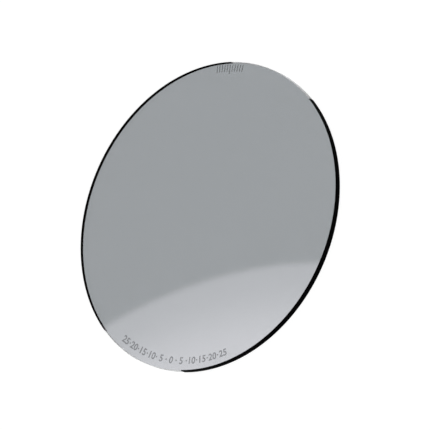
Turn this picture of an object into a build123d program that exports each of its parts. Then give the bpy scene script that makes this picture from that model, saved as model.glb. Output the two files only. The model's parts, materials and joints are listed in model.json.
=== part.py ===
"""Rimless round lens filter: a polished disc of neutral grey glass with a blackened edge.

The disc lies on its back face. Z is its optical axis, the origin is the middle of the back face,
and +Y points to the top of the disc as it is read from the front.
"""

import os
from math import cos, radians, sin, sqrt

from build123d import *

# Driving dimensions, in millimetres and degrees
EDGE_DIAMETER = 95.0  # across the lacquered edge, which drops into its seat
GLASS_THICKNESS = 2.0  # from polished face to polished face
ARRIS = 0.2  # leg of the 45 degree arris that breaks each sharp edge of the glass
LACQUER_FILM = 0.05  # thickness of the black lacquer
LACQUER_SETBACK = 0.02  # the lacquer stops this far below each polished face
LEFT_ARC = 137.0  # lacquered stretch of edge on the left
RIGHT_ARC = 139.0  # lacquered stretch of edge on the right, with bare edge between it and the left one
LEFT_DIRECTION = 162.2  # middle of the left stretch, anticlockwise from +X; the right one is opposite

# The glass takes its radius from the lacquered edge
EDGE_RADIUS = EDGE_DIAMETER / 2
GLASS_RADIUS = EDGE_RADIUS - LACQUER_FILM
FACE_RADIUS = GLASS_RADIUS - ARRIS

# The lacquer follows the wall and both arrises at one thickness
HALF_TURN = 180.0
LACQUER_END_RADIUS = FACE_RADIUS + LACQUER_SETBACK
LACQUER_END_WIDTH = LACQUER_FILM * sqrt(2)
LACQUER_CORNER = ARRIS - LACQUER_FILM * (sqrt(2) - 1)
LACQUER_ARCS = {
    "left_edge_lacquer": (LEFT_DIRECTION, LEFT_ARC),
    "right_edge_lacquer": (LEFT_DIRECTION + HALF_TURN, RIGHT_ARC),
}

os.makedirs("parts", exist_ok=True)


def radial_plane(angle):
    """The upright plane through the axis, with its x direction pointing out at the angle."""
    turn = radians(angle)
    return Plane(
        origin=(0, 0, 0),
        x_dir=(cos(turn), sin(turn), 0),
        z_dir=(sin(turn), -cos(turn), 0),
    )


# The glass: a flat disc with both of its edges broken
with BuildPart() as glass_disc:
    with BuildSketch() as face_outline:
        Circle(GLASS_RADIUS)
    extrude(amount=GLASS_THICKNESS)
    chamfer(glass_disc.edges().filter_by(GeomType.CIRCLE), length=ARRIS)
glass_disc.part.label = "glass_disc"
export_step(glass_disc.part, "parts/glass_disc.step")

# The lacquer: two long arcs of black film round the edge, with a bare stretch between their ends
for name, (middle, arc) in LACQUER_ARCS.items():
    with BuildPart() as edge_lacquer:
        with BuildSketch(radial_plane(middle - arc / 2)) as film_section:
            with BuildLine() as film_outline:
                Polyline(
                    (LACQUER_END_RADIUS, LACQUER_SETBACK),
                    (LACQUER_END_RADIUS + LACQUER_END_WIDTH, LACQUER_SETBACK),
                    (EDGE_RADIUS, LACQUER_CORNER),
                    (EDGE_RADIUS, GLASS_THICKNESS - LACQUER_CORNER),
                    (LACQUER_END_RADIUS + LACQUER_END_WIDTH, GLASS_THICKNESS - LACQUER_SETBACK),
                    (LACQUER_END_RADIUS, GLASS_THICKNESS - LACQUER_SETBACK),
                    (GLASS_RADIUS, GLASS_THICKNESS - ARRIS),
                    (GLASS_RADIUS, ARRIS),
                    close=True,
                )
            make_face()
        revolve(axis=Axis.Z, revolution_arc=arc)
    edge_lacquer.part.label = name
    export_step(edge_lacquer.part, f"parts/{name}.step")
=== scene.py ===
"""A rimless round lens filter of grey glass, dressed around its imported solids.

The glass disc, the black lacquer on its edge and the scale printed on its front face each have an
operator, and so does the stage that they are shown on. Lengths are in metres, in the frame of the
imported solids: the disc lies on its back face, its axis is Z, and +Y is the top of the disc as its
front is read.
"""

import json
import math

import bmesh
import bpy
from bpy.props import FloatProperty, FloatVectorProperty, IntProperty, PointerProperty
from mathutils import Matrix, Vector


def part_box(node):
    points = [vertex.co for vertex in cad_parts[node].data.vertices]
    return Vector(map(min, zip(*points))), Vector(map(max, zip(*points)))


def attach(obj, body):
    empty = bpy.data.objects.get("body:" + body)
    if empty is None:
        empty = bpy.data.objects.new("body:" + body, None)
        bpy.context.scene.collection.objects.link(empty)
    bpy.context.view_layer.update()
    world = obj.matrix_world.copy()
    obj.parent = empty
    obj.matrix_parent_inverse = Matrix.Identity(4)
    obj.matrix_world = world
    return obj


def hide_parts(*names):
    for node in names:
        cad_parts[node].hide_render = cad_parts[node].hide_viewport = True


bl_info = {
    "name": "Round Lens Filter",
    "version": (1, 0, 0),
    "blender": (4, 5, 0),
    "location": "View3D > Sidebar > Lens Filter",
    "description": "Builds a grey glass filter disc, its blackened edge, its printed scale and a stage",
    "category": "Object",
}

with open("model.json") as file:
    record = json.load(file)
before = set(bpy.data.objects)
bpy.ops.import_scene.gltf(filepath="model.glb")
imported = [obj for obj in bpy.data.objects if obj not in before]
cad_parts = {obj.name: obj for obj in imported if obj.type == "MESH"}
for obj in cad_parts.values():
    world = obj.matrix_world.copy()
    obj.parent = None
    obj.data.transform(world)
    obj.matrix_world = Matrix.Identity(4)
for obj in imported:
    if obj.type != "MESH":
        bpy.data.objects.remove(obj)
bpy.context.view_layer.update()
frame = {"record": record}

MM = 0.001
ROOT_2 = math.sqrt(2)

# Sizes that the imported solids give
GLASS_LOW, GLASS_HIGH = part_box("glass_disc")
GLASS_RADIUS = (GLASS_HIGH.x - GLASS_LOW.x) / 2
BACK_Z = GLASS_LOW.z
FRONT_Z = GLASS_HIGH.z
THICKNESS = FRONT_Z - BACK_Z
MOUNTS = {mount["name"]: mount for mount in frame["record"]["mounts"]}
EDGE_RADIUS = MOUNTS["edge"]["dims"]["r_mm"] * MM
LACQUER_BACK_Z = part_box("left_edge_lacquer")[0].z

# How the meshes are shaded and how fine they are
SHARP = math.radians(25)  # an edge that turns by more than this stays hard
ROUNDING_STEPS = 3  # facets in each rounded corner of the lacquer film
NUMERAL_STEPS = 4  # facets in each curve of a numeral
DOT_SIDES = 16
WELD = 0.001 * MM  # points of the print that lie closer than this are one

# Material slots of the glass disc
POLISHED, LACQUERED, GROUND = range(3)

# Sockets of the Mix node for colours, which share their names with its other sockets
MIX_SHARE, MIX_FIRST, MIX_SECOND = 0, 6, 7
MIX_RESULT = 2

# The stage: its floor, and the heights above the horizon where the room's light changes
FLOOR_HALF_WIDTH = 6.0
FLOOR_DROP = 0.1 * MM
STRIP_TOP = math.radians(4)
WALL_FOOT = math.radians(10)
WALL_TOP = math.radians(25)
CEILING_EDGE = math.radians(45)
VIEW_DEPTH = 4  # how far the camera sees, as a multiple of its distance from the disc


class GlassSettings(bpy.types.PropertyGroup):
    """Form and finish of the glass disc."""

    sides: IntProperty(
        name="Sides",
        description="Straight sides that make up the round outline",
        default=720,
        min=24,
    )
    arris: FloatProperty(
        name="Arris",
        description="Leg of the small bevel that breaks both edges of the glass",
        default=0.2 * MM,
        unit="LENGTH",
    )
    tint: FloatVectorProperty(
        name="Tint",
        description="Share of the light that the grey glass lets through",
        subtype="COLOR",
        default=(0.43, 0.4535, 0.4715),
        min=0,
        max=1,
    )
    refraction: FloatProperty(
        name="Refractive index",
        description="Refractive index of the glass",
        default=1.517,
    )
    coating: FloatProperty(
        name="Coating index",
        description="Refractive index of the thin neutral coating, which makes the faces reflect more",
        default=1.9,
    )
    ground: FloatVectorProperty(
        name="Ground wall",
        description="Colour of the bare wall, which is ground matt",
        subtype="COLOR",
        default=(0.96, 0.965, 0.97),
        min=0,
        max=1,
    )


class LacquerSettings(bpy.types.PropertyGroup):
    """Form and finish of the black lacquer on the edge."""

    left_arc: FloatProperty(
        name="Left arc",
        description="Length of the lacquered stretch of edge on the left",
        default=math.radians(137),
        subtype="ANGLE",
    )
    right_arc: FloatProperty(
        name="Right arc",
        description="Length of the lacquered stretch of edge on the right",
        default=math.radians(139),
        subtype="ANGLE",
    )
    left_direction: FloatProperty(
        name="Left direction",
        description="Middle of the left stretch, anticlockwise from +X; the right one is opposite",
        default=math.radians(162.2),
        subtype="ANGLE",
    )
    step: FloatProperty(
        name="Step",
        description="Turn from one section of the film to the next",
        default=math.radians(0.5),
        subtype="ANGLE",
    )
    bond: FloatProperty(
        name="Bond line",
        description="Gap that keeps the film's inner face off the glass",
        default=0.002 * MM,
        unit="LENGTH",
    )
    rounding: FloatProperty(
        name="Rounding",
        description="How far the outer corners of the film are rounded",
        default=0.012 * MM,
        unit="LENGTH",
    )
    colour: FloatVectorProperty(
        name="Colour",
        description="Colour of the lacquer",
        subtype="COLOR",
        default=(0.0008, 0.0008, 0.0009),
        min=0,
        max=1,
    )
    # Painted shade: the next two settings darken the bare wall towards the end of the right arc
    painted_shade: FloatProperty(
        name="Haze",
        description="Share of the bare wall that thinned lacquer covers at the end of the right arc",
        subtype="FACTOR",
        default=0.39,
        min=0,
        max=1,
    )
    painted_shade_reach: FloatProperty(
        name="Haze reach",
        description="How far the thinned lacquer runs on past the right arc",
        default=11.0 * MM,
        unit="LENGTH",
    )


class ScaleSettings(bpy.types.PropertyGroup):
    """Layout and ink of the scale printed on the front face."""

    middle: FloatProperty(
        name="Middle",
        description="Direction of the scale's zero, anticlockwise from +X",
        default=math.radians(267),
        subtype="ANGLE",
    )
    spacing: FloatProperty(
        name="Spacing",
        description="Turn from one numeral to the next",
        default=math.radians(5),
        subtype="ANGLE",
    )
    numerals_each_side: IntProperty(
        name="Numerals each side",
        description="Numerals on each side of the zero",
        default=5,
        min=0,
    )
    baseline: FloatProperty(
        name="Baseline",
        description="Radius of the line that the numerals stand on",
        default=45.5 * MM,
        unit="LENGTH",
    )
    height: FloatProperty(
        name="Height",
        description="Height of the numerals",
        default=2.2 * MM,
        unit="LENGTH",
    )
    weight: FloatProperty(
        name="Weight",
        description="Thickening of a numeral's strokes on each side, as a share of the type size",
        subtype="FACTOR",
        default=0.026,
        min=0,
        max=1,
    )
    dot: FloatProperty(
        name="Dot",
        description="Width of the dots between the numerals",
        default=0.5 * MM,
        unit="LENGTH",
    )
    index_middle: FloatProperty(
        name="Index middle",
        description="Direction of the index lines at the top, anticlockwise from +X",
        default=math.radians(93.7),
        subtype="ANGLE",
    )
    index_spacing: FloatProperty(
        name="Index spacing",
        description="Turn from one index line to the next",
        default=math.radians(1.2),
        subtype="ANGLE",
    )
    index_lines_each_side: IntProperty(
        name="Index lines each side",
        description="Index lines on each side of the longer middle one",
        default=5,
        min=0,
    )
    index_foot: FloatProperty(
        name="Index foot",
        description="Radius of the line that the index lines stand on",
        default=46.6 * MM,
        unit="LENGTH",
    )
    index_stroke: FloatProperty(
        name="Index stroke",
        description="Width of the index lines",
        default=0.35 * MM,
        unit="LENGTH",
    )
    index_height: FloatProperty(
        name="Index height",
        description="Height of the index lines",
        default=2.2 * MM,
        unit="LENGTH",
    )
    index_middle_height: FloatProperty(
        name="Index middle height",
        description="Height of the index line in the middle",
        default=2.86 * MM,
        unit="LENGTH",
    )
    ink: FloatVectorProperty(
        name="Ink",
        description="Colour of the printing ink",
        subtype="COLOR",
        default=(0.05, 0.052, 0.055),
        min=0,
        max=1,
    )
    opacity: FloatProperty(
        name="Opacity",
        description="Share of the light that the thin ink stops at each of its two sides",
        subtype="FACTOR",
        default=0.27,
        min=0,
        max=1,
    )
    ink_bond: FloatProperty(
        name="Ink bond line",
        description="Gap that keeps the underside of the ink off the glass",
        default=0.002 * MM,
        unit="LENGTH",
    )
    ink_thickness: FloatProperty(
        name="Ink thickness",
        description="Thickness of the ink",
        default=0.008 * MM,
        unit="LENGTH",
    )


class StageSettings(bpy.types.PropertyGroup):
    """Floor, light and camera."""

    azimuth: FloatProperty(
        name="Azimuth",
        description="Where the camera stands round the disc, anticlockwise from -Y",
        default=math.radians(74.2),
        subtype="ANGLE",
    )
    elevation: FloatProperty(
        name="Elevation",
        description="Height of the camera above the disc's plane",
        default=math.radians(48.91),
        subtype="ANGLE",
    )
    roll: FloatProperty(
        name="Roll",
        description="Turn of the camera about its own line of sight",
        default=math.radians(-66.257),
        subtype="ANGLE",
    )
    distance: FloatProperty(
        name="Distance",
        description="From the camera to the middle of the front face",
        default=3.0,
        unit="LENGTH",
    )
    field: FloatProperty(
        name="Field",
        description="Width of the picture at the disc",
        default=127.39 * MM,
        unit="LENGTH",
    )
    offset: FloatVectorProperty(
        name="Offset",
        description="Where the disc's middle lies from the picture's middle, to the right and up",
        size=2,
        default=(-2.347 * MM, -0.207 * MM),
        unit="LENGTH",
    )
    glow_middle: FloatVectorProperty(
        name="Glow middle",
        description="Middle of the lamp's reflection on the front face, seen from the camera",
        size=2,
        default=(54.68 * MM, -176.71 * MM),
        unit="LENGTH",
    )
    glow_radius: FloatProperty(
        name="Glow radius",
        description="Radius of the lamp's reflection on the front face, seen from the camera",
        default=164.75 * MM,
        unit="LENGTH",
    )
    glow_softness: FloatProperty(
        name="Glow softness",
        description="Width of the soft edge of that reflection",
        default=3.2 * MM,
        unit="LENGTH",
    )
    glow_rise: FloatProperty(
        name="Glow rise",
        description="Depth behind the soft edge over which the reflection grows to its full brightness",
        default=24.0 * MM,
        unit="LENGTH",
    )
    lamp_height: FloatProperty(
        name="Lamp height",
        description="Height of the round lamp above the disc",
        default=1.2,
        unit="LENGTH",
    )
    lamp_edge: FloatProperty(
        name="Lamp edge",
        description="Brightness of the lamp just inside its soft edge",
        default=0.7,
    )
    lamp_core: FloatProperty(
        name="Lamp core",
        description="Brightness of the lamp well inside its edge",
        default=1.34,
    )
    lamp_colour: FloatVectorProperty(
        name="Lamp colour",
        description="Colour of the lamp's light",
        subtype="COLOR",
        default=(1.0, 0.95, 1.0),
        min=0,
        max=1,
    )
    horizon: FloatProperty(
        name="Horizon",
        description="Brightness of the strip of light along the foot of the walls",
        default=4.2,
    )
    walls: FloatProperty(
        name="Walls",
        description="Brightness of the grey walls, which the glass reflects when seen from low down",
        default=0.6,
    )
    ceiling: FloatProperty(
        name="Ceiling",
        description="Brightness of the dark ceiling, which the glass reflects when seen from above",
        default=0.02,
    )
    table_glow: FloatProperty(
        name="Table glow",
        description="Light that the floor gives off by itself, as a light table does",
        default=0.95,
    )
    floor: FloatVectorProperty(
        name="Floor",
        description="Colour of the floor",
        subtype="COLOR",
        default=(0.3, 0.3, 0.3),
        min=0,
        max=1,
    )


class FilterSettings(bpy.types.PropertyGroup):
    """All that a user can change on the filter and its stage."""

    glass: PointerProperty(
        name="Glass",
        description="Form and finish of the glass disc",
        type=GlassSettings,
    )
    lacquer: PointerProperty(
        name="Lacquer",
        description="Form and finish of the black lacquer on the edge",
        type=LacquerSettings,
    )
    scale: PointerProperty(
        name="Scale",
        description="Layout and ink of the scale printed on the front face",
        type=ScaleSettings,
    )
    stage: PointerProperty(
        name="Stage",
        description="Floor, light and camera",
        type=StageSettings,
    )


class Channel:
    """One output of a shader node. Arithmetic on it adds the Math nodes that work it out."""

    def __init__(self, shader, socket):
        self.shader = shader
        self.socket = socket

    def math(self, operation, first, second):
        """A Math node on two channels or numbers."""
        return self.shader.node("ShaderNodeMath", {"operation": operation}, {0: first, 1: second})

    def __add__(self, other):
        return self.math("ADD", self, other)

    def __rsub__(self, other):
        return self.math("SUBTRACT", other, self)

    def __mul__(self, other):
        return self.math("MULTIPLY", self, other)

    __radd__ = __add__
    __rmul__ = __mul__


class Shader:
    """A node tree that is being built."""

    def __init__(self, tree):
        tree.nodes.clear()
        self.tree = tree

    def node(self, kind, settings, inputs, output=0):
        """Adds a node, sets it up, fills its sockets with values or links and returns one output."""
        made = self.tree.nodes.new(kind)
        for name, value in settings.items():
            setattr(made, name, value)
        for socket, value in inputs.items():
            if isinstance(value, Channel):
                self.tree.links.new(value.socket, made.inputs[socket])
            else:
                made.inputs[socket].default_value = value
        return Channel(self, made.outputs[output]) if made.outputs else None

    def place(self):
        """The piece's own coordinates."""
        return self.node("ShaderNodeTexCoord", {}, {}, "Object")

    def noise(self, scale, detail=2.0, squeeze=(1, 1, 1)):
        """Noise on the piece's own coordinates, squeezed by a factor along each axis."""
        squeezed = self.node("ShaderNodeMapping", {}, {"Vector": self.place(), "Scale": squeeze})
        inputs = {"Vector": squeezed, "Scale": scale, "Detail": detail}
        return self.node("ShaderNodeTexNoise", {}, inputs)

    def ramp(self, value, low, high):
        """A smooth step from 0 to 1 as a value goes from low to high."""
        smooth = {"interpolation_type": "SMOOTHSTEP"}
        inputs = {"Value": value, "From Min": low, "From Max": high, "To Min": 0.0, "To Max": 1.0}
        return self.node("ShaderNodeMapRange", smooth, inputs)

    def between(self, first, second, share):
        """A colour between two others."""
        mix = {"data_type": "RGBA"}
        inputs = {MIX_SHARE: share, MIX_FIRST: first, MIX_SECOND: second}
        return self.node("ShaderNodeMix", mix, inputs, MIX_RESULT)

    def distance(self, place, point):
        """How far a place lies from a point."""
        apart = {"operation": "DISTANCE"}
        return self.node("ShaderNodeVectorMath", apart, {0: place, 1: point}, "Value")

    def bump(self, height, depth):
        """A normal with a fine relief, whose depth is in metres."""
        relief = {"Height": height, "Distance": depth, "Strength": 1.0}
        return self.node("ShaderNodeBump", {}, relief, "Normal")


def opaque(colour):
    """A colour with its alpha, as the shader sockets take it."""
    return (*colour, 1.0)


def shaded(colour, factor):
    """A colour darkened or lightened by one factor."""
    return opaque([min(1.0, part * factor) for part in colour])


def new_material(name):
    """An empty material and the shader that fills it."""
    material = bpy.data.materials.new(name)
    material.use_nodes = True
    return material, Shader(material.node_tree)


def dress(shader, inputs):
    """Ends a material's nodes with one principled surface."""
    surface = shader.node("ShaderNodeBsdfPrincipled", {}, inputs, "BSDF")
    shader.node("ShaderNodeOutputMaterial", {}, {"Surface": surface})


def polished_glass(settings):
    """Clear grey glass, with a trace of unevenness in its coating and of wiping in its polish."""
    material, shader = new_material("polished_glass")
    coating = shader.noise(scale=30.0)
    wiping = shader.noise(scale=220.0, detail=4.0, squeeze=(1, 0.2, 1))
    dress(shader, {
        "Base Color": shader.between(opaque(settings.tint), shaded(settings.tint, 0.997), coating),
        "Roughness": 0.004 + 0.016 * wiping,
        "IOR": settings.refraction,
        "Transmission Weight": 1.0,
        "Coat Weight": 1.0,
        "Coat IOR": settings.coating,
        "Coat Roughness": 0.01,
    })
    return material


def lacquered_wall(settings):
    """The wall of the glass where black lacquer is bonded to its outside."""
    material, shader = new_material("lacquered_wall")
    brushing = shader.noise(scale=300.0, squeeze=(1, 1, 40))
    dress(shader, {
        "Base Color": shader.between(opaque(settings.colour), shaded(settings.colour, 0.5), brushing),
        "Roughness": 0.9,
        "Specular IOR Level": 0.0,
    })
    return material


def ground_wall(glass, lacquer):
    """The bare wall of the glass, ground matt, which scatters light both ways rather than bending it.

    Towards the end of the right arc its colour is pulled towards the lacquer's black: painted shade that
    dims that end of the bare wall.
    """
    material, shader = new_material("ground_wall")
    grain = shader.noise(scale=14000.0, detail=3.0)
    bare = shader.between(opaque(glass.ground), shaded(glass.ground, 0.9), grain)
    start, arc = lacquered_arcs(lacquer)["right"]
    tip = Matrix.Rotation(start + arc, 3, "Z") @ Vector((GLASS_RADIUS, 0, BACK_Z + THICKNESS / 2))
    # Painted shade on the bare wall, strongest at the end of the right arc and fading out with distance
    # from it
    painted_shade_falloff = 1 - shader.ramp(shader.distance(shader.place(), tip), 0.0, lacquer.painted_shade_reach)
    dress(shader, {
        "Base Color": shader.between(bare, opaque(lacquer.colour), lacquer.painted_shade * painted_shade_falloff),
        "Roughness": 0.5 + 0.2 * grain,
        "IOR": 1.1,
        "Transmission Weight": 0.35,
        "Normal": shader.bump(grain, depth=0.01 * MM),
    })
    return material


def black_lacquer(settings):
    """Dull black lacquer, brushed on along the edge."""
    material, shader = new_material("black_lacquer")
    brushing = shader.noise(scale=300.0, detail=4.0, squeeze=(1, 1, 40))
    dress(shader, {
        "Base Color": shader.between(opaque(settings.colour), shaded(settings.colour, 2.0), brushing),
        "Roughness": 0.42 + 0.2 * brushing,
        "Specular IOR Level": 0.003,
        "Normal": shader.bump(brushing, depth=0.004 * MM),
    })
    return material


def scale_ink(settings):
    """Thin dark printing ink that the glass shows through, with the slight mottle of a screen print."""
    material, shader = new_material("scale_ink")
    mottle = shader.noise(scale=9000.0, detail=3.0)
    dress(shader, {
        "Base Color": shader.between(opaque(settings.ink), shaded(settings.ink, 1.5), mottle),
        "Roughness": 0.2 + 0.1 * mottle,
        "Alpha": settings.opacity * (0.85 + 0.3 * mottle),
        "IOR": 1.5,
    })
    return material


def pale_floor(settings):
    """Matt pale floor, which gives off light of its own."""
    material, shader = new_material("pale_floor")
    dress(shader, {
        "Base Color": opaque(settings.floor),
        "Roughness": 1.0,
        "Specular IOR Level": 0.0,
        "Emission Color": (1, 1, 1, 1),
        "Emission Strength": settings.table_glow,
    })
    return material


def settle_order(bm):
    """Gives points, edges and faces a fixed order, because the mesh operators leave a chance one."""
    for index, vert in enumerate(sorted(bm.verts, key=lambda vert: vert.co[:])):
        vert.index = index
    bm.verts.sort()
    for items in (bm.edges, bm.faces):
        ordered = sorted(items, key=lambda item: sorted(vert.index for vert in item.verts))
        for index, item in enumerate(ordered):
            item.index = index
        items.sort()


def make_object(name, bm, materials):
    """Turns a bmesh into an object at the origin, with its hard edges marked."""
    bmesh.ops.recalc_face_normals(bm, faces=bm.faces)
    for face in bm.faces:
        face.smooth = True
    for edge in bm.edges:
        edge.smooth = edge.calc_face_angle(0) < SHARP
    settle_order(bm)
    mesh = bpy.data.meshes.new(name)
    bm.to_mesh(mesh)
    bm.free()
    for material in materials:
        mesh.materials.append(material)
    made = bpy.data.objects.new(name, mesh)
    bpy.context.scene.collection.objects.link(made)
    return made


def make_piece(name, bm, materials):
    """A piece of the filter: a closed mesh with the finishes that are passed in, hung on the root body.
    """
    if any(len(edge.link_faces) != 2 for edge in bm.edges):
        raise RuntimeError(f"{name} isn't a closed mesh")
    piece = make_object(name, bm, materials)
    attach(piece, "root")
    return piece


def lacquered_arcs(settings):
    """Where each arc of lacquer starts and how far it runs, by the side that it is on."""
    left = settings.left_direction
    right = left + math.pi
    return {
        "left": (left - settings.left_arc / 2, settings.left_arc),
        "right": (right - settings.right_arc / 2, settings.right_arc),
    }


def is_lacquered(settings, point):
    """True where a point of the edge lies in one of the arcs of lacquer."""
    turn = math.atan2(point.y, point.x)
    arcs = lacquered_arcs(settings).values()
    return any((turn - start) % (2 * math.pi) < arc for start, arc in arcs)


def is_flat(face):
    """True on the two round faces of the disc, and not on its wall or its arrises."""
    return abs(face.normal.z) > math.cos(SHARP)


def glass_blank(glass, lacquer):
    """The disc: a round outline, extruded, with both edges broken and a fan of faces on each side."""
    bm = bmesh.new()
    start = lacquered_arcs(lacquer)["left"][0]
    bmesh.ops.create_circle(
        bm,
        cap_ends=True,
        radius=GLASS_RADIUS,
        segments=glass.sides,
        matrix=Matrix.Translation((0, 0, BACK_Z)) @ Matrix.Rotation(start, 4, "Z"),
    )
    grown = bmesh.ops.extrude_face_region(bm, geom=bm.faces[:], use_keep_orig=True)
    front = [item for item in grown["geom"] if isinstance(item, bmesh.types.BMVert)]
    bmesh.ops.translate(bm, vec=(0, 0, THICKNESS), verts=front)
    rims = [edge for edge in bm.edges if edge.verts[0].co.z == edge.verts[1].co.z]
    bmesh.ops.bevel(
        bm,
        geom=rims,
        offset=glass.arris,
        affect="EDGES",
        segments=1,
        profile=0.5,
        material=-1,
    )
    bmesh.ops.recalc_face_normals(bm, faces=bm.faces)
    bmesh.ops.poke(bm, faces=[face for face in bm.faces if is_flat(face)])
    return bm


def finish_faces(bm, settings):
    """Gives each face of the glass its finish: polished, or on the wall lacquered or ground."""
    for face in bm.faces:
        if is_flat(face):
            face.material_index = POLISHED
        elif is_lacquered(settings, face.calc_center_median()):
            face.material_index = LACQUERED
        else:
            face.material_index = GROUND


def film_section(glass, lacquer):
    """The film's outline in the XZ plane: it follows the wall and both arrises at one thickness."""
    film = EDGE_RADIUS - GLASS_RADIUS
    setback = LACQUER_BACK_Z - BACK_Z
    inner = GLASS_RADIUS + lacquer.bond
    # An arris slopes at 45 degrees, so the film on it reaches film * ROOT_2 further out
    end = inner - glass.arris + setback
    corner = glass.arris - film * (ROOT_2 - 1)
    inside = [(inner, glass.arris), (end, setback)]
    outside = [(end + film * ROOT_2, setback), (EDGE_RADIUS, corner)]
    lower = inside + outside
    upper = [(radius, THICKNESS - height) for radius, height in reversed(lower)]
    bm = bmesh.new()
    points = [bm.verts.new((radius, 0, BACK_Z + height)) for radius, height in lower + upper]
    bm.faces.new(points)
    bmesh.ops.bevel(
        bm,
        geom=points[len(inside):-len(inside)],
        offset=lacquer.rounding,
        affect="VERTICES",
        segments=ROUNDING_STEPS,
        profile=0.5,
        material=-1,
    )
    bmesh.ops.delete(bm, geom=bm.faces[:], context="FACES_ONLY")
    return bm


def film_arc(glass, lacquer, start, arc):
    """One arc of lacquer, from the end of one bare stretch to the start of the other."""
    bm = film_section(glass, lacquer)
    bmesh.ops.rotate(bm, verts=bm.verts, cent=(0, 0, 0), matrix=Matrix.Rotation(start, 3, "Z"))
    bmesh.ops.spin(
        bm,
        geom=bm.verts[:] + bm.edges[:],
        cent=(0, 0, 0),
        axis=(0, 0, 1),
        angle=arc,
        steps=round(arc / lacquer.step),
        use_merge=False,
    )
    bmesh.ops.holes_fill(bm, edges=[edge for edge in bm.edges if edge.is_boundary])
    return bm


def numeral(text, settings):
    """A printed numeral as flat faces, its baseline on the X axis and its middle at the origin."""
    curve = bpy.data.curves.new("numeral", "FONT")
    curve.body = text
    curve.align_x = "CENTER"
    curve.offset = settings.weight
    curve.resolution_u = NUMERAL_STEPS
    holder = bpy.data.objects.new("numeral", curve)
    mesh = bpy.data.meshes.new_from_object(holder)
    bpy.data.objects.remove(holder)
    bpy.data.curves.remove(curve)
    heights = [vertex.co.y for vertex in mesh.vertices]
    size = settings.height / (max(heights) - min(heights))
    foot = Matrix.Translation((0, -min(heights), 0))
    mesh.transform(Matrix.Scale(size, 4) @ foot)
    return mesh


def seat(angle, radius):
    """The matrix that sets a mark on the front face, with its foot towards the edge."""
    turn = Matrix.Rotation(angle + math.pi / 2, 4, "Z")
    return turn @ Matrix.Translation((0, -radius, FRONT_Z))


def add_numeral(bm, text, place, settings):
    """A numeral that stands on the baseline."""
    mesh = numeral(text, settings)
    mesh.transform(place)
    bm.from_mesh(mesh)
    bpy.data.meshes.remove(mesh)


def add_dot(bm, place, settings):
    """A round dot halfway up the numerals."""
    middle = place @ Matrix.Translation((0, settings.height / 2, 0))
    radius = settings.dot / 2
    bmesh.ops.create_circle(bm, cap_ends=True, radius=radius, segments=DOT_SIDES, matrix=middle)


def add_line(bm, place, width, height):
    """A straight line that stands on its foot."""
    form = Matrix.Translation((0, height / 2, 0)) @ Matrix.Diagonal((width / 2, height / 2, 1, 1))
    bmesh.ops.create_grid(bm, x_segments=1, y_segments=1, size=1, matrix=place @ form)


def raise_ink(bm, settings):
    """Lifts flat print off the glass by its bond line and gives it the thickness of the ink."""
    bmesh.ops.remove_doubles(bm, verts=bm.verts, dist=WELD)
    bmesh.ops.recalc_face_normals(bm, faces=bm.faces)
    bmesh.ops.translate(bm, vec=(0, 0, settings.ink_bond), verts=bm.verts)
    grown = bmesh.ops.extrude_face_region(bm, geom=bm.faces[:], use_keep_orig=True)
    top = [item for item in grown["geom"] if isinstance(item, bmesh.types.BMVert)]
    bmesh.ops.translate(bm, vec=(0, 0, settings.ink_thickness), verts=top)


def scale_print(settings):
    """Degrees on both sides of a zero, with a dot between each two numerals."""
    bm = bmesh.new()
    reach = settings.numerals_each_side
    degrees = round(math.degrees(settings.spacing))
    for count in range(-reach, reach + 1):
        angle = settings.middle + count * settings.spacing
        add_numeral(bm, str(abs(count) * degrees), seat(angle, settings.baseline), settings)
        if count < reach:
            add_dot(bm, seat(angle + settings.spacing / 2, settings.baseline), settings)
    raise_ink(bm, settings)
    return bm


def index_print(settings):
    """A row of index lines, with a longer one in the middle."""
    bm = bmesh.new()
    reach = settings.index_lines_each_side
    for count in range(-reach, reach + 1):
        place = seat(settings.index_middle + count * settings.index_spacing, settings.index_foot)
        height = settings.index_height if count else settings.index_middle_height
        add_line(bm, place, settings.index_stroke, height)
    raise_ink(bm, settings)
    return bm


class LENSFILTER_OT_glass_disc(bpy.types.Operator):
    """Build the glass disc with its polished faces and its wall"""

    bl_idname = "lens_filter.glass_disc"
    bl_label = "Glass disc"

    def execute(self, context):
        glass = context.scene.lens_filter.glass
        lacquer = context.scene.lens_filter.lacquer
        bm = glass_blank(glass, lacquer)
        finish_faces(bm, lacquer)
        finishes = [polished_glass(glass), lacquered_wall(lacquer), ground_wall(glass, lacquer)]
        disc = make_piece("glass_plate", bm, finishes)
        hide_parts("glass_disc")
        return {"FINISHED"}


class LENSFILTER_OT_edge_lacquer(bpy.types.Operator):
    """Build the two arcs of black lacquer on the edge"""

    bl_idname = "lens_filter.edge_lacquer"
    bl_label = "Edge lacquer"

    def execute(self, context):
        glass = context.scene.lens_filter.glass
        lacquer = context.scene.lens_filter.lacquer
        finish = black_lacquer(lacquer)
        for side, (start, arc) in lacquered_arcs(lacquer).items():
            bm = film_arc(glass, lacquer, start, arc)
            film = make_piece(f"lacquer_{side}", bm, [finish])
            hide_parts(f"{side}_edge_lacquer")
        return {"FINISHED"}


class LENSFILTER_OT_printed_scale(bpy.types.Operator):
    """Print the scale and the index lines on the front face"""

    bl_idname = "lens_filter.printed_scale"
    bl_label = "Printed scale"

    def execute(self, context):
        settings = context.scene.lens_filter.scale
        ink = scale_ink(settings)
        make_piece("index_scale", scale_print(settings), [ink])
        make_piece("index_marks", index_print(settings), [ink])
        return {"FINISHED"}


def add_floor(settings):
    """A wide pale floor just under the disc."""
    bm = bmesh.new()
    place = Matrix.Translation((0, 0, BACK_Z - FLOOR_DROP))
    bmesh.ops.create_grid(bm, x_segments=1, y_segments=1, size=FLOOR_HALF_WIDTH, matrix=place)
    floor = make_object("floor", bm, [pale_floor(settings)])


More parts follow.
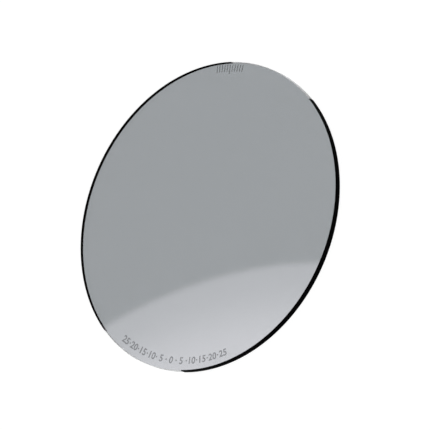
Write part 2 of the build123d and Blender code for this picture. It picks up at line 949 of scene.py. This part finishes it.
def add_camera(settings):
    """A long lens that looks down on the disc at the photograph's angle. Returns the camera's object."""
    data = bpy.data.cameras.new("camera")
    data.lens = data.sensor_width * settings.distance / settings.field
    data.clip_end = VIEW_DEPTH * settings.distance
    camera = bpy.data.objects.new("camera", data)
    turn = Matrix.Rotation(settings.azimuth, 4, "Z")
    tilt = Matrix.Rotation(math.pi / 2 - settings.elevation, 4, "X")
    roll = Matrix.Rotation(settings.roll, 4, "Z")
    right, up = settings.offset
    back_off = Matrix.Translation((-right, -up, settings.distance))
    camera.matrix_world = Matrix.Translation((0, 0, FRONT_Z)) @ turn @ tilt @ roll @ back_off
    bpy.context.scene.collection.objects.link(camera)
    bpy.context.scene.camera = camera
    return camera


def light_lamp(data, settings, reach):
    """Lights the lamp: it is brightest well inside, and fades out over a soft edge."""
    data.use_nodes = True
    shader = Shader(data.node_tree)
    # These coordinates run from 0 to 1 across the lamp
    across = shader.node("ShaderNodeNewGeometry", {}, {}, "Parametric")
    middle = (0.5, 0.5, 0.0)
    away = shader.distance(across, middle) * 2
    depth = (1 - away) * reach
    soft = settings.glow_softness
    edge = shader.ramp(depth, 0.0, soft)
    rise = shader.ramp(depth, soft, soft + settings.glow_rise)
    strength = edge * (settings.lamp_edge + rise * (settings.lamp_core - settings.lamp_edge))
    colour = opaque(settings.lamp_colour)
    glow = shader.node("ShaderNodeEmission", {}, {"Color": colour, "Strength": strength}, "Emission")
    shader.node("ShaderNodeOutputLight", {}, {"Surface": glow})


def add_lamp(settings, camera):
    """A round overhead lamp, hung where the camera sees it reflected at the stated place on the glass."""
    eye = camera.matrix_world.translation
    # The mirrored lines of sight spread by this share on their way up to the lamp
    growth = settings.lamp_height / (eye.z - FRONT_Z)
    spot = Vector(settings.glow_middle) * (1 + growth) - eye.xy * growth
    reach = settings.glow_radius + settings.glow_softness / 2
    radius = reach * (1 + growth)
    data = bpy.data.lights.new("lamp", "AREA")
    data.shape = "DISK"
    data.size = 2 * radius
    # At this power the lamp is as bright as its nodes say
    data.energy = math.pi * math.pi * radius * radius
    light_lamp(data, settings, reach)
    lamp = bpy.data.objects.new("lamp", data)
    lamp.location = (spot.x, spot.y, FRONT_Z + settings.lamp_height)
    lamp.visible_camera = False
    bpy.context.scene.collection.objects.link(lamp)


def add_room_light(settings):
    """Even light from all round: a bright strip at the foot of grey walls, under a dark ceiling."""
    world = bpy.data.worlds.new("room")
    world.use_nodes = True
    shader = Shader(world.node_tree)
    direction = shader.node("ShaderNodeTexCoord", {}, {}, "Generated")
    height = shader.node("ShaderNodeSeparateXYZ", {}, {"Vector": direction}, "Z")
    above_strip = shader.ramp(height, math.sin(STRIP_TOP), math.sin(WALL_FOOT))
    overhead = shader.ramp(height, math.sin(WALL_TOP), math.sin(CEILING_EDGE))
    brightness = settings.horizon + above_strip * (settings.walls - settings.horizon)
    brightness = brightness + overhead * (settings.ceiling - settings.walls)
    glow = shader.node("ShaderNodeBackground", {}, {"Color": (1, 1, 1, 1), "Strength": brightness})
    shader.node("ShaderNodeOutputWorld", {}, {"Surface": glow})
    bpy.context.scene.world = world


class LENSFILTER_OT_stage(bpy.types.Operator):
    """Build the floor, the light and the camera"""

    bl_idname = "lens_filter.stage"
    bl_label = "Stage"

    def execute(self, context):
        settings = context.scene.lens_filter.stage
        add_floor(settings)
        camera = add_camera(settings)
        add_lamp(settings, camera)
        add_room_light(settings)
        # No film curve, so the picture is as bright as the light says
        context.scene.view_settings.view_transform = "Standard"
        return {"FINISHED"}


OPERATORS = (
    LENSFILTER_OT_glass_disc,
    LENSFILTER_OT_edge_lacquer,
    LENSFILTER_OT_printed_scale,
    LENSFILTER_OT_stage,
)


class LENSFILTER_PT_sidebar(bpy.types.Panel):
    """Lists the settings and the operators of the filter"""

    bl_label = "Lens Filter"
    bl_idname = "LENSFILTER_PT_sidebar"
    bl_space_type = "VIEW_3D"
    bl_region_type = "UI"
    bl_category = "Lens Filter"

    def draw(self, context):
        settings = context.scene.lens_filter
        for label in ("glass", "lacquer", "scale", "stage"):
            group = getattr(settings, label)
            box = self.layout.box()
            box.label(text=label.capitalize())
            for name in group.bl_rna.properties.keys():
                if name not in {"rna_type", "name"}:
                    box.prop(group, name)
        for operator in OPERATORS:
            self.layout.operator(operator.bl_idname)


CLASSES = (
    GlassSettings,
    LacquerSettings,
    ScaleSettings,
    StageSettings,
    FilterSettings,
    *OPERATORS,
    LENSFILTER_PT_sidebar,
)


def register():
    for item in CLASSES:
        bpy.utils.register_class(item)
    bpy.types.Scene.lens_filter = PointerProperty(
        name="Lens filter",
        description="All that a user can change on the filter and its stage",
        type=FilterSettings,
    )


def unregister():
    del bpy.types.Scene.lens_filter
    for item in reversed(CLASSES):
        bpy.utils.unregister_class(item)


def main():
    """Builds the filter and its stage."""
    register()
    bpy.ops.lens_filter.glass_disc()
    bpy.ops.lens_filter.edge_lacquer()
    bpy.ops.lens_filter.printed_scale()
    bpy.ops.lens_filter.stage()


if __name__ == "__main__":
    main()
